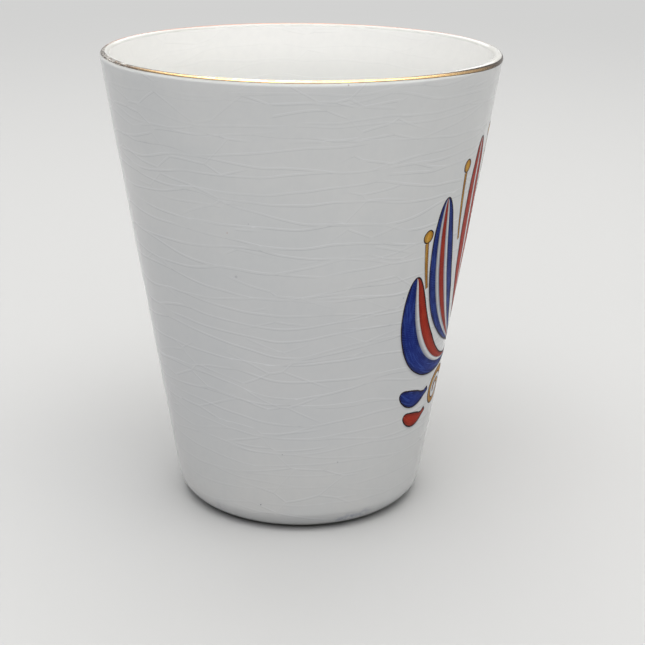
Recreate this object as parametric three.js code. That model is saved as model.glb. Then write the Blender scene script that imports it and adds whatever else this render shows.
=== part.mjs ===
// A white earthenware beaker with a gilded lip and a printed ornament on one side.
// Millimetres, +Z up. The origin is the middle of the foot, on the table, and the print faces +X.
import * as THREE from "three";

const radians = THREE.MathUtils.degToRad;
const degrees = THREE.MathUtils.radToDeg;

// The outside of the cup
const cupHeight = 100; // table to the top of the gilded lip
const mouthRadius = 42.6; // where the wall's straight line reaches the cup's height
const baseRadius = 27.1; // where the same line, carried down, reaches the table
const heelRound = 5.9; // radius between the wall and the foot
const lipRound = 1.05; // radius of the full round of the lip

// The inside of the cup. The wall thins from the floor to the lip.
const wallAtFloor = 3.75; // thickness where the inner wall's line, carried down, reaches the floor
const floorThickness = 4.3; // from the recess under the foot to the glazed floor
const floorRound = 8; // radius between the floor and the inner wall

// The foot, which is left unglazed, and the shallow recess inside it
const footSpread = 0.9; // how far the foot stands out past the lowest point of the heel's round
const footWidth = 3.2;
const footBevel = 0.35;
const recessWall = 0.45; // straight inner side of the foot
const recessRound = 1.1;

// The layers that cover the clay
const glazeThickness = 0.3;
const glazeLineAngle = 72; // degrees of the heel that the glaze covers, from level down
const gildingThickness = 0.08;
const gildingOutside = 58; // degrees from the lip's crown down the outside
const gildingInside = 5; // degrees from the lip's crown down the inside
const layerClearance = 0.02; // between one layer and the layer that carries it

// The printed ornament, which is drawn flat in units of its own and laid on the wall
const printBelowTop = 11.8; // top of the cup to the highest point of the print
const printAboveTable = 21.2; // table to the lowest point of the print
const enamelThickness = 0.12;
const enamelClearance = 0.08; // covers the flats of the wall as well
const drawingTop = 34.5;
const drawingBottom = -34;

// The boss under the petals, the scrolls below it to either side, and the drops that hang from it
const bossPlace = { x: 0, y: -19.6 };
const bossRadius = 2.6;
const scrollSide = 5.3; // from the middle line of the drawing
const scrollTop = -22.7;
const scrollRadius = 4.9;
const scrollInnerRadius = 1;
const scrollStart = 152; // degrees
const scrollTurns = 1.5;
const scrollWindIn = 0.8; // power by which the radius falls
const scrollHalfWidth = 0.85;
const scrollEndHalfWidth = 0.3;
const dropGap = 0.65;
const dropNarrowing = 0.8;
const drops = [
  { name: "upper_drop", radius: 1.7, colour: "red" },
  { name: "middle_drop", radius: 1.4, colour: "blue" },
  { name: "lower_drop", radius: 1.1, colour: "red" },
];

// Petals spring from the boss and leaves from the scrolls: the place of the root, the bend and tip
// of the spine, half the width, and stripes. A stripe runs between two shares of the half width,
// where 1 is the edge nearer the middle.
const petalGap = 1.6; // boss to the roots of the petals
const leafGap = 1.2; // scroll to the roots of the leaves
const scrollPlace = { x: scrollSide + scrollRadius, y: scrollTop - scrollRadius };
const fromBoss = (angle) => around(bossPlace, bossRadius + petalGap, angle);
const fromScroll = (angle) => around(scrollPlace, scrollRadius + leafGap, angle);
const petals = [
  {
    name: "centre_petal",
    spine: [fromBoss(90), [0, 8], [0, drawingTop]],
    halfWidth: 4.2,
    stripes: { left_red: [1, 0.56], blue: [0.26, -0.26], right_red: [-0.56, -1] },
  },
  {
    name: "inner_petal",
    spine: [fromBoss(54), [10.8, -2], [14.9, 30.5]],
    halfWidth: 3.9,
    stripes: { upper_red: [1, 0.22], lower_red: [-0.12, -1] },
  },
  {
    name: "middle_petal",
    spine: [fromBoss(25), [21.8, -10.5], [26.3, 19.5]],
    halfWidth: 4.3,
    stripes: { upper_blue: [1, 0.5], red: [0.2, -0.24], lower_blue: [-0.54, -1] },
  },
  {
    name: "outer_petal",
    spine: [fromBoss(-6), [26.6, -23.5], [30.6, 3]],
    halfWidth: 4.1,
    stripes: { upper_red: [1, 0.38], lower_blue: [0.06, -1] },
  },
  {
    name: "upper_leaf",
    spine: [fromScroll(16), [20.5, -28.6], [26.6, -24.4]],
    halfWidth: 1.7,
    stripes: { blue: [1, -1] },
  },
  {
    name: "lower_leaf",
    spine: [fromScroll(-35), [18.6, -33.9], [23.6, -30.4]],
    halfWidth: 1.4,
    stripes: { red: [1, -1] },
  },
];
const petalFullest = 0.58; // share of the spine at which a petal is widest
const petalSwell = 0.75; // power of the swell below the fullest place, under 1 for a fuller petal
const petalRootHalfWidth = 0.45;
const petalTipHalfWidth = 0.12;
const outlineGap = 0.12; // petal to its dark outline
const outlineWidth = 0.3;

// Stems that stand between the petals, each with a berry on its end
const stems = [
  { name: "upper", spine: [[6, 17], [6.8, 23], [7.5, 29.5]] },
  { name: "middle", spine: [[17, 8.8], [19.4, 15], [20.9, 24]] },
  { name: "lower", spine: [[26.7, 0.1], [28.7, 4.8], [30.2, 10.6]] },
];
const stemHalfWidth = 0.4;
const berryRadius = 1.2;
const berryGap = 0.25;

// How finely the round shapes are divided
const turnSteps = 48;
const heelSteps = 4;
const outerLipSteps = 2;
const gildingSteps = 3;
const innerLipSteps = 4;
const floorRoundSteps = 4;
const recessRoundSteps = 3;
const petalSteps = 14;
const scrollSteps = 40;
const stemSteps = 5;
const discSteps = 8;
const discEndShare = 0.2; // a disc's flat ends, as a share of its width
const widestStrip = 3; // an area of enamel wider than this is divided, so that it follows the wall

const finishes = {
  biscuit: { color: 0xd8d0c0, roughness: 0.9, metalness: 0 },
  glaze: { color: 0xe4e4e0, roughness: 0.12, metalness: 0 },
  gold: { color: 0xd9ac5e, roughness: 0.3, metalness: 1 },
  red: { color: 0xbe3428, roughness: 0.3, metalness: 0 },
  blue: { color: 0x263a8c, roughness: 0.3, metalness: 0 },
  ochre: { color: 0xc4963e, roughness: 0.3, metalness: 0 },
  umber: { color: 0x4a2c28, roughness: 0.4, metalness: 0 },
};

// The half section is drawn with x away from the axis and y up, as the lathe wants it.
const wallLean = Math.atan((mouthRadius - baseRadius) / cupHeight);
const lipHeight = cupHeight - gildingThickness - layerClearance - lipRound;
const recessDepth = footBevel + recessWall + recessRound;
const floorHeight = recessDepth + floorThickness;
const heelCentre = roundInside(wallRadius(heelRound), heelRound, heelRound, wallLean);
const lipCentre = roundInside(wallRadius(lipHeight), lipHeight, lipRound, wallLean);
const insideBaseRadius = wallRadius(floorHeight) - wallAtFloor;
const insideLean = leanOfInside();
const floorRoundTop = floorHeight + floorRound;
const floorCentre = roundInside(insideRadius(floorRoundTop), floorRoundTop, floorRound, insideLean);
const footRadius = heelCentre.x + footSpread;
const recessRadius = footRadius - footWidth;

function wallRadius(height) {
  return baseRadius + height * Math.tan(wallLean);
}

function insideRadius(height) {
  return insideBaseRadius + (height - floorHeight) * Math.tan(insideLean);
}

// A place in the drawing at a distance and an angle from another, where 90 degrees is up.
function around({ x, y }, distance, angle) {
  return [x + distance * Math.cos(radians(angle)), y + distance * Math.sin(radians(angle))];
}

// The centre of a round that touches a leaning line on its inner side.
function roundInside(lineRadius, height, round, lean) {
  return new THREE.Vector2(lineRadius - round / Math.cos(lean), height);
}

// The inner wall starts at its radius on the floor and touches the lip's round.
function leanOfInside() {
  const across = lipCentre.x - insideBaseRadius;
  const up = lipCentre.y - floorHeight;
  return Math.atan2(across, up) - Math.asin(lipRound / Math.hypot(across, up));
}

// Points on a round, by angle: 0 points away from the axis and 90 points up.
function arc(centre, radius, from, to, steps) {
  return Array.from({ length: steps + 1 }, (_, i) => {
    const angle = radians(from + ((to - from) * i) / steps);
    return new THREE.Vector2(centre.x + radius * Math.cos(angle), centre.y + radius * Math.sin(angle));
  });
}

// The lip's round in stretches that meet where the gilding starts, at the crown and where it ends.
function gildedStretch(radius) {
  const outside = arc(lipCentre, radius, 90 - gildingOutside, 90, gildingSteps);
  const inside = arc(lipCentre, radius, 90, 90 + gildingInside, 1);
  return [...outside, ...inside.slice(1)];
}

// The face from the glaze line on the heel, up the wall, over the lip and down to the floor's middle.
// inset is how far under the finished surface it lies.
function glazedFace(inset) {
  const lip = lipRound - inset;
  return [
    ...arc(heelCentre, heelRound - inset, -glazeLineAngle, -degrees(wallLean), heelSteps),
    ...arc(lipCentre, lip, -degrees(wallLean), 90 - gildingOutside, outerLipSteps).slice(0, -1),
    ...gildedStretch(lip),
    ...arc(lipCentre, lip, 90 + gildingInside, 180 - degrees(insideLean), innerLipSteps).slice(1),
    ...arc(floorCentre, floorRound + inset, -degrees(insideLean), -90, floorRoundSteps),
    new THREE.Vector2(0, floorHeight - inset),
  ];
}

// The face of the recess from the axis to the foot's inner side. build is how far it stands off the clay.
function recessFace(build) {
  const centre = new THREE.Vector2(recessRadius - recessRound, recessDepth - recessRound);
  return [
    new THREE.Vector2(0, recessDepth - build),
    ...arc(centre, recessRound - build, 90, 0, recessRoundSteps),
  ];
}

function revolve(profile) {
  return new THREE.LatheGeometry(profile, turnSteps).rotateX(Math.PI / 2);
}

function clayShape() {
  return revolve([
    ...recessFace(0),
    new THREE.Vector2(recessRadius, footBevel),
    new THREE.Vector2(recessRadius + footBevel, 0),
    new THREE.Vector2(footRadius, 0),
    ...glazedFace(glazeThickness + layerClearance),
  ]);
}

function glazeShape() {
  return revolve([...glazedFace(glazeThickness).reverse(), ...glazedFace(0)]);
}

function undersideGlazeShape() {
  const outer = recessFace(layerClearance + glazeThickness);
  return revolve([...outer, ...recessFace(layerClearance).reverse()]);
}

function gildingShape() {
  const outer = gildedStretch(lipRound + layerClearance + gildingThickness);
  const inner = gildedStretch(lipRound + layerClearance).reverse();
  return revolve([...outer, ...inner, outer[0]]);
}

// The place on the cup of a point of the drawing. The drawing's middle line faces +X.
function onWall(point, lift) {
  const printHeight = cupHeight - printBelowTop - printAboveTable;
  const unit = printHeight / (drawingTop - drawingBottom);
  const height = printAboveTable + (point.y - drawingBottom) * unit;
  const angle = (point.x * unit) / wallRadius(height);
  const radius = wallRadius(height) + lift / Math.cos(wallLean);
  return [radius * Math.cos(angle), radius * Math.sin(angle), height];
}

// One area of enamel, as a thin closed solid on the wall. It follows a spine in the drawing, and
// reaches from its left edge to its right edge, both given as shares of the half width there.
function enamelShape(spine, halfWidth, leftEdge, rightEdge, steps) {
  const shares = Array.from({ length: steps + 1 }, (_, i) => i / steps);
  const widest = Math.max(...shares.map(halfWidth)) * (leftEdge - rightEdge);
  const across = Math.ceil(widest / widestStrip);
  const bottom = [];
  const top = [];
  for (const share of shares) {
    const middle = spine.getPoint(share);
    const along = spine.getTangent(share);
    for (let j = 0; j <= across; j += 1) {
      const edge = leftEdge + ((rightEdge - leftEdge) * j) / across;
      const out = halfWidth(share) * edge;
      const point = new THREE.Vector2(middle.x - along.y * out, middle.y + along.x * out);
      bottom.push(onWall(point, enamelClearance));
      top.push(onWall(point, enamelClearance + enamelThickness));
    }
  }
  const row = across + 1;
  const lift = bottom.length;
  const faces = [];
  const quad = (a, b, c, d) => faces.push(a, b, c, a, c, d);
  for (let i = 0; i < steps; i += 1) {
    for (let j = 0; j < across; j += 1) {
      const a = i * row + j;
      quad(lift + a, lift + a + 1, lift + a + row + 1, lift + a + row);
      quad(a, a + row, a + row + 1, a + 1);
    }
    const left = i * row;
    const right = left + across;
    quad(left, lift + left, lift + left + row, left + row);
    quad(right, right + row, lift + right + row, lift + right);
  }
  for (let j = 0; j < across; j += 1) {
    const end = steps * row + j;
    quad(j, j + 1, lift + j + 1, lift + j);
    quad(end, lift + end, lift + end + 1, end + 1);
  }
  const geometry = new THREE.BufferGeometry();
  geometry.setAttribute("position", new THREE.Float32BufferAttribute([...bottom, ...top].flat(), 3));
  geometry.setIndex(faces);
  return geometry;
}

// The dark line round a petal, as a closed ring on the wall with a square section.
function outlineShape(spine, halfWidth) {
  const ring = (gap, lift) => {
    const sides = [1, -1].map((side) =>
      Array.from({ length: petalSteps + 1 }, (_, i) => {
        const share = i / petalSteps;
        const middle = spine.getPoint(share);
        const along = spine.getTangent(share);
        const out = side * (halfWidth(share) + gap);
        const past = gap * (2 * share - 1);
        const x = middle.x - along.y * out + along.x * past;
        return onWall(new THREE.Vector2(x, middle.y + along.x * out + along.y * past), lift);
      }),
    );
    return [...sides[0], ...sides[1].reverse()];
  };
  const top = enamelClearance + enamelThickness;
  const outer = outlineGap + outlineWidth;
  const corners = [
    ring(outlineGap, enamelClearance),
    ring(outer, enamelClearance),
    ring(outer, top),
    ring(outlineGap, top),
  ];
  const count = corners[0].length;
  const faces = [];
  for (let i = 0; i < count; i += 1) {
    const next = (i + 1) % count;
    for (let j = 0; j < corners.length; j += 1) {
      const here = j * count;
      const beside = ((j + 1) % corners.length) * count;
      faces.push(here + i, beside + next, here + next, here + i, beside + i, beside + next);
    }
  }
  const geometry = new THREE.BufferGeometry();
  geometry.setAttribute("position", new THREE.Float32BufferAttribute(corners.flat(2), 3));
  geometry.setIndex(faces);
  return geometry;
}

// A curve through the drawing from three points, on the right side or mirrored to the left.
function curveOf(points, side) {
  const [root, bend, tip] = points.map(([x, y]) => new THREE.Vector2(side * x, y));
  return new THREE.QuadraticBezierCurve(root, bend, tip);
}

// Half the width of a petal along its spine: a soft swell, then a round tip.
function petalWidth(halfWidth) {
  return (share) => {
    const rise = Math.min(share / petalFullest, 1);
    const fall = Math.min((1 - share) / (1 - petalFullest), 1);
    const swell = THREE.MathUtils.smoothstep(rise, 0, 1) ** petalSwell * Math.sqrt(1 - (1 - fall) ** 2);
    const least = THREE.MathUtils.lerp(petalRootHalfWidth, petalTipHalfWidth, share);
    return Math.max(halfWidth * swell, least);
  };
}

// A disc, or an upright drop where it is narrowed, along a spine that runs up through its middle.
function discShape({ x, y }, radius, narrowing) {
  const spine = new THREE.LineCurve(new THREE.Vector2(x, y - radius), new THREE.Vector2(x, y + radius));
  const chord = (share) => Math.max(Math.sqrt(1 - (2 * share - 1) ** 2), discEndShare) * radius * narrowing;
  return enamelShape(spine, chord, 1, -1, discSteps);
}

// A scroll that winds in to its middle.
class Scroll extends THREE.Curve {
  constructor(side) {
    super();
    this.side = side;
  }

  getPoint(share) {
    const angle = radians(scrollStart - 360 * scrollTurns * share);
    const radius = THREE.MathUtils.lerp(scrollRadius, scrollInnerRadius, share ** scrollWindIn);
    const x = scrollPlace.x + radius * Math.cos(angle);
    return new THREE.Vector2(this.side * x, scrollPlace.y + radius * Math.sin(angle));
  }
}

const cup = new THREE.Group();

function add(name, geometry, finish) {
  const mesh = new THREE.Mesh(geometry, new THREE.MeshStandardMaterial(finishes[finish]));
  mesh.name = name;
  cup.add(mesh);
}

function colourOf(name) {
  return name.split("_").pop();
}

function addPetal({ name, spine, halfWidth, stripes }, side, sideName) {
  const curve = curveOf(spine, side);
  const width = petalWidth(halfWidth);
  for (const [stripe, edges] of Object.entries(stripes)) {
    const [leftEdge, rightEdge] = side > 0 ? edges : [-edges[1], -edges[0]];
    const shape = enamelShape(curve, width, leftEdge, rightEdge, petalSteps);
    add(`${name}_${sideName}${stripe}`, shape, colourOf(stripe));
  }
  add(`${name}_${sideName}outline`, outlineShape(curve, width), "umber");
}

function addStem({ name, spine }, side, sideName) {
  const [x, y] = spine[2];
  const stem = enamelShape(curveOf(spine, side), () => stemHalfWidth, 1, -1, stemSteps);
  const place = { x: side * x, y: y + berryGap + berryRadius };
  add(`${name}_stem_${sideName}`, stem, "ochre");
  add(`${name}_berry_${sideName}`, discShape(place, berryRadius, 1), "ochre");
}

function addScroll(side, sideName) {
  const width = (share) => THREE.MathUtils.lerp(scrollHalfWidth, scrollEndHalfWidth, share);
  add(`scroll_${sideName}`, enamelShape(new Scroll(side), width, 1, -1, scrollSteps), "ochre");
}

// The drops hang under each other from the boss.
function addDrops() {
  let y = bossPlace.y - bossRadius;
  for (const { name, radius, colour } of drops) {
    y -= dropGap + radius;
    add(name, discShape({ x: bossPlace.x, y }, radius, dropNarrowing), colour);
    y -= radius;
  }
}

add("cup_body", clayShape(), "biscuit");
add("glaze_coat", glazeShape(), "glaze");
add("glaze_underside", undersideGlazeShape(), "glaze");
add("rim_gilding", gildingShape(), "gold");
add("boss", discShape(bossPlace, bossRadius, 1), "ochre");
addPetal(petals[0], 1, "");
for (const [side, sideName] of [[1, "right"], [-1, "left"]]) {
  petals.slice(1).forEach((petal) => addPetal(petal, side, `${sideName}_`));
  stems.forEach((stem) => addStem(stem, side, sideName));
  addScroll(side, sideName);
}
addDrops();

export default cup;
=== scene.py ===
# The looks of an old earthenware beaker: crazed white glaze, worn gilding and a printed enamel ornament.
# Metres, +Z up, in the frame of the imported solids. The ornament faces +X.
import math
from functools import partial
from types import SimpleNamespace

import bmesh
import bpy
import numpy as np
from mathutils import Matrix, Vector


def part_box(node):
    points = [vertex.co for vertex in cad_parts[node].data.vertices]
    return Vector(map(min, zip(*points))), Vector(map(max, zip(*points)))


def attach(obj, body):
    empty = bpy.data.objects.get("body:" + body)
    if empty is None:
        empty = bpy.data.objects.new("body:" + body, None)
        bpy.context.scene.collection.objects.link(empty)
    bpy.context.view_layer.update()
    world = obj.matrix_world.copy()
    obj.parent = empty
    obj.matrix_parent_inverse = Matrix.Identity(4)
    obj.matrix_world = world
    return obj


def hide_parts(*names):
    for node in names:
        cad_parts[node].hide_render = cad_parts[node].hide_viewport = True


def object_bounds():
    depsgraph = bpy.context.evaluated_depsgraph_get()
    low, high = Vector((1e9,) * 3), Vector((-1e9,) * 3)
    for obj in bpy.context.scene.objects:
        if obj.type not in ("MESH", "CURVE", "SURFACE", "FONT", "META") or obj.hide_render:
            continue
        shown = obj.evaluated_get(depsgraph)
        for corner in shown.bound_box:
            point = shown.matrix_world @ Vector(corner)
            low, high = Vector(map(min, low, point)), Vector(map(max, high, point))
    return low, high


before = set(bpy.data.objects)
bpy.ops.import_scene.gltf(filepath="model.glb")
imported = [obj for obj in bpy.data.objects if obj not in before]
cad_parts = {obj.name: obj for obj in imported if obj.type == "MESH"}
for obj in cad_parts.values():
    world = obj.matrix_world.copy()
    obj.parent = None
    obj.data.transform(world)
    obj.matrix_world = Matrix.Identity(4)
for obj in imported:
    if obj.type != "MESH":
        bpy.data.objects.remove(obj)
cad_low, cad_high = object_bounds()

MM = 0.001
TINY = 0.01 * MM  # heights or radii nearer than this are the same
BACKGROUND = "#D2D2D1"  # what is seen behind the cup
COVE_FADE = (0.22, 0.95)  # how far from the cup its shadow on the cove starts and ends its fading
LAMP_DISTANCE = 2
LENS = 80.6  # millimetres, on a sensor 36 mm wide
CAMERA_PLACE = (4.99 * MM, -307.2 * MM, 143.95 * MM)
CAMERA_TILT = math.radians(90 - 18.906)  # from straight down
CAMERA_ROLL = 0.0102  # radians

# How far the potter's hand leaves the cup from a true cone, in millimetres
MEAN_DEPTH = 0.07
OUT_OF_ROUND = 0.035
RING_DEPTH = 0.012

# The layers as they are fired: how far each stands off the surface that carries it
SINK = 0.02 * MM  # how far a film's underside lies in the glaze
FLUX = 0.006 * MM
ENAMEL = 0.016 * MM
KEY_LINE = 0.024 * MM
GOLD = 0.02 * MM
GOLD_WAVER = 6  # degrees of the lip's round by which the band's edges waver
GOLD_BACK_RISE = 9  # degrees by which the band's inner edge lies further in at the back
GOLD_DIP_AT, GOLD_DIP_WIDTH, GOLD_DIP = -12, 32, 50  # degrees: where the brush ran low on the lip
GLAZE_EDGE = 6  # degrees of the heel over which the glaze thins out to its lower edge
HEEL_STEPS = 18  # rows of points round the heel

# The print, in the units of its flat drawing
DRAWING_ROOT = -15.4  # the middle petal's root
DRAWING_TOP = 34.5  # and its tip
BOSS = (0, -19.6)
BOSS_RADIUS = 2.6
PETAL_ROOTS = BOSS_RADIUS + 1.6
SCROLL = (10.2, -27.6)
SCROLL_RADIUS = 4.9
LEAF_ROOTS = SCROLL_RADIUS + 1.2
SCROLL_INNER_RADIUS = 1
SCROLL_START = 152
SCROLL_TURNS = 1.5
SCROLL_WIND_IN = 0.8
SCROLL_HALF_WIDTHS = (0.85, 0.3)
PETAL_STEPS, PETAL_RING_STEPS = 110, 420
SCROLL_STEPS, SCROLL_RING_STEPS = 240, 700
STEM_STEPS = 50
PETAL_FULLEST = 0.58
PETAL_SWELL = 0.75
PETAL_ROOT_HALF_WIDTH = 0.45
OUTLINE_GAP = 0.12
OUTLINE_WIDTH = 0.3
OVERLAP = 0.16  # how far a colour runs under the line round it
DROPS = (("upper_drop", 1.7, "red"), ("middle_drop", 1.4, "blue"), ("lower_drop", 1.1, "red"))
DROP_GAP = 0.65
DROP_NARROWING = 0.8
STEM_HALF_WIDTH = 0.4
BERRY_RADIUS = 1.2
SHADE_WIDTH = 1.1  # how far a printed shadow reaches beyond its petal
BERRY_GAP = 0.25
STEMS = (
    ("upper", ((6, 17), (6.8, 23), (7.5, 29.5))),
    ("middle", ((17, 8.8), (19.4, 15), (20.9, 24))),
    ("lower", ((26.7, 0.1), (28.7, 4.8), (30.2, 10.6))),
)


def around(centre, distance, degrees):
    """The point at a distance and an angle from a centre, where 90 degrees is up."""
    angle = math.radians(degrees)
    return centre[0] + distance * math.cos(angle), centre[1] + distance * math.sin(angle)


# Each petal: its spine's root, bend and tip, half its width, and its stripes between two shares of
# the half width, where 1 is the edge nearer the middle of the print.
PETALS = (
    ("centre_petal", (around(BOSS, PETAL_ROOTS, 90), (0, 8), (0, DRAWING_TOP)), 4.2,
     {"left_red": (1, 0.56), "blue": (0.26, -0.26), "right_red": (-0.56, -1)}),
    ("inner_petal", (around(BOSS, PETAL_ROOTS, 54), (10.8, -2), (14.9, 30.5)), 3.9,
     {"upper_red": (1, 0.22), "lower_red": (-0.12, -1)}),
    ("middle_petal", (around(BOSS, PETAL_ROOTS, 25), (21.8, -10.5), (26.3, 19.5)), 4.3,
     {"upper_blue": (1, 0.5), "red": (0.2, -0.24), "lower_blue": (-0.54, -1)}),
    ("outer_petal", (around(BOSS, PETAL_ROOTS, -6), (26.6, -23.5), (30.6, 3)), 4.1,
     {"upper_red": (1, 0.38), "lower_blue": (0.06, -1)}),
    ("upper_leaf", (around(SCROLL, LEAF_ROOTS, 16), (20.5, -28.6), (26.6, -24.4)), 1.7,
     {"blue": (1, -1)}),
    ("lower_leaf", (around(SCROLL, LEAF_ROOTS, -35), (18.6, -33.9), (23.6, -30.4)), 1.4,
     {"red": (1, -1)}),
)


def node_profile(name):
    """The radius and the height of each vertex of a solid, as two arrays."""
    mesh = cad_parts[name].data
    places = np.empty(len(mesh.vertices) * 3, np.float32)
    mesh.vertices.foreach_get("co", places)
    x, y, z = places.reshape(-1, 3).astype(float).T
    return np.hypot(x, y), z


def measure_cup():
    """The cup's rounds and walls, read off the solids. Each wall is a straight line that touches a round
    at either end, so that a round's radius follows from its height above its touching point."""
    cup = SimpleNamespace()
    radius, height = node_profile("glaze_coat")
    low = height < height.max() / 2
    on_axis = radius < 10 * TINY
    heel = np.argmax(np.where(low, radius, 0))
    lip = np.argmin(np.where(low, np.inf, height))
    inner_lip = np.argmin(np.where(low, np.inf, radius))
    inner_floor = np.argmax(np.where(low, height, 0))
    cup.lean = math.atan2(radius[lip] - radius[heel], height[lip] - height[heel])
    cup.inner_lean = math.atan2(
        radius[inner_lip] - radius[inner_floor], height[inner_lip] - height[inner_floor]
    )
    cup.lip = (height.max() - height[lip]) / (1 + math.sin(cup.lean))
    cup.lip_centre = (radius[lip] - cup.lip * math.cos(cup.lean), height.max() - cup.lip)
    cup.heel = height[heel] / (1 - math.sin(cup.lean))
    cup.heel_centre = (radius[heel] - cup.heel * math.cos(cup.lean), cup.heel)
    cup.floor = height[on_axis].max()
    cup.coat = cup.floor - height[on_axis].min()
    cup.floor_round = (height[inner_floor] - cup.floor) / (1 - math.sin(cup.inner_lean))
    cup.floor_centre = (
        radius[inner_floor] - cup.floor_round * math.cos(cup.inner_lean),
        cup.floor + cup.floor_round,
    )
    cup.glaze_line = math.degrees(math.asin((cup.heel - height.min()) / cup.heel))
    radius, height = node_profile("cup_body")
    flat = height < TINY
    cup.foot = (radius[flat].min(), radius[flat].max())
    in_recess = radius < cup.foot[0] - TINY
    cup.recess = radius[in_recess].max()
    side = in_recess & (radius > cup.recess - TINY)
    cup.recess_depth = height[radius < 10 * TINY].min()
    cup.recess_round = cup.recess_depth - height[side].max()
    cup.foot_bevel = height[side].min()
    cup.recess_centre = (cup.recess - cup.recess_round, cup.recess_depth - cup.recess_round)
    cup.clay_inset = cup.floor - height[(radius < 10 * TINY) & ~(height < cup.floor / 2)].max()
    radius, height = node_profile("rim_gilding")
    gold = np.hypot(radius - cup.lip_centre[0], height - cup.lip_centre[1])
    angle = np.degrees(np.arctan2(height - cup.lip_centre[1], radius - cup.lip_centre[0]))
    cup.gold = (angle[gold > cup.lip].min(), angle[gold > cup.lip].max())
    return cup


cup = measure_cup()


def wall_radius(height):
    """The outer wall's straight line, carried on past both of its ends."""
    at_lip = cup.lip_centre[0] + cup.lip / math.cos(cup.lean)
    return at_lip + (height - cup.lip_centre[1]) * math.tan(cup.lean)


def wander(angle, waves, seed, rough=1.0):
    """A smooth random line round the cup, between about -1 and 1: a sum of sines with a whole number of
    waves each, whose heights fall with their number."""
    chance = np.random.default_rng(seed)
    total = np.zeros_like(np.asarray(angle, float))
    weights = 0
    for count in waves:
        weight = count ** -rough
        total += weight * np.sin(count * angle + chance.uniform(0, 2 * np.pi))
        weights += weight
    return total / weights


def hand_turned(angle, height):
    """How far the surface lies inside the true cone: a few hundredths of a millimetre, in slow waves
    round the cup, in rings up the wall, and in a slow spiral."""
    round_waves = wander(angle, (2, 3, 5, 8), 11)
    rings = np.sin(2 * np.pi * height / (23 * MM) + 1.1) + 0.6 * np.sin(2 * np.pi * height / (9 * MM))
    spiral = np.sin(3 * angle + 2 * np.pi * height / (41 * MM))
    return MM * (MEAN_DEPTH + OUT_OF_ROUND * round_waves + RING_DEPTH * rings + RING_DEPTH * spiral)


def arc(centre, radius, start, end, steps):
    """Points on a round from one angle to another, where 0 points away from the axis and 90 up."""
    angles = np.radians(np.linspace(start, end, steps + 1))
    return np.stack([centre[0] + radius * np.cos(angles), centre[1] + radius * np.sin(angles)], 1)


def line(start, end, steps):
    """Points between two others, without either of them."""
    share = np.linspace(0, 1, steps + 1)[1:-1, None]
    return np.asarray(start) * (1 - share) + np.asarray(end) * share


def revolve(profile, columns):
    """A profile of radius and height carried round the axis: a row for each of its points."""
    angle = np.linspace(0, 2 * np.pi, columns, endpoint=False)[None, :]
    radius = profile[:, 0, None]
    height = np.broadcast_to(profile[:, 1, None], (len(profile), columns))
    weight = np.clip(radius / cup.heel_centre[0], 0, 1)
    radius = radius - weight * hand_turned(angle, height) * (radius > 0)
    return np.stack([radius * np.cos(angle), radius * np.sin(angle), height], 2)


def faces_of(rows, columns, closed_rows):
    """Quads between the neighbours of a grid whose columns go round, and whose rows may."""
    index = np.arange(rows * columns).reshape(rows, columns)
    ahead = np.roll(index, -1, 0) if closed_rows else index[1:]
    here = index if closed_rows else index[:-1]
    quads = np.stack([here, np.roll(here, -1, 1), np.roll(ahead, -1, 1), ahead], 2)
    return quads.reshape(-1, 4)


def facing_out(points, quads):
    """The quads, turned round if the volume that they close in comes out negative."""
    a, b, c, d = (points[quads[:, i]] for i in range(4))
    volume = np.einsum("ij,ij->", a, np.cross(b, c)) + np.einsum("ij,ij->", a, np.cross(c, d))
    return quads if volume > 0 else quads[:, ::-1]


def put_in_scene(name, data):
    """A new object in the scene for a mesh, a light or a camera."""
    item = bpy.data.objects.new(name, data)
    bpy.context.scene.collection.objects.link(item)
    return item


def solid(name, grid, material, closed_rows=False, facts=None, sharp=50):
    """A closed mesh from a grid of points, whose equal points are merged at poles. facts are numbers
    for each point, which the material reads by name."""
    points = grid.reshape(-1, 3)
    quads = facing_out(points, faces_of(grid.shape[0], grid.shape[1], closed_rows))
    mesh = bpy.data.meshes.new(name)
    mesh.from_pydata(points.tolist(), [], quads.tolist())
    for fact, values in (facts or {}).items():
        layer = mesh.attributes.new(fact, "FLOAT", "POINT")
        layer.data.foreach_set("value", np.ascontiguousarray(values, np.float32).reshape(-1))
    shape = bmesh.new()
    shape.from_mesh(mesh)
    bmesh.ops.remove_doubles(shape, verts=shape.verts, dist=1e-7)
    shape.to_mesh(mesh)
    shape.free()
    mesh.shade_smooth()
    mesh.set_sharp_from_angle(angle=math.radians(sharp))
    mesh.materials.append(material)
    piece = put_in_scene(name, mesh)
    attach(piece, "root")
    return piece


def srgb(value):
    """A hex colour as linear numbers."""
    parts = [int(value[i:i + 2], 16) / 255 for i in (1, 3, 5)]
    return tuple(p / 12.92 if p <= 0.04045 else ((p + 0.055) / 1.055) ** 2.4 for p in parts) + (1.0,)


# What every node of a kind is set to: one mixes colours, and the other makes a soft step
KIND_SETTINGS = {"Mix": {"data_type": "RGBA"}, "MapRange": {"interpolation_type": "SMOOTHSTEP"}}


def add_node(tree, kind, *values, named=None, **settings):
    """A new shader node of a kind, which may be followed by its operation, with its settings. values go
    in order into the inputs that the settings leave in use, and named ones into theirs: a socket is
    linked and anything else is set. Gives back the first output in use."""
    kind, _, operation = kind.partition(" ")
    node = tree.nodes.new("ShaderNode" + kind)
    if operation:
        node.operation = operation
    for setting, value in {**KIND_SETTINGS.get(kind, {}), **settings}.items():
        setattr(node, setting, value)
    in_use = [socket for socket in node.inputs if socket.enabled]
    chosen = [(node.inputs[name], value) for name, value in (named or {}).items()]
    for socket, value in [*zip(in_use, values), *chosen]:
        if isinstance(value, bpy.types.NodeSocket):
            tree.links.new(value, socket)
        else:
            socket.default_value = value
    return next((socket for socket in node.outputs if socket.enabled), None)


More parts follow.
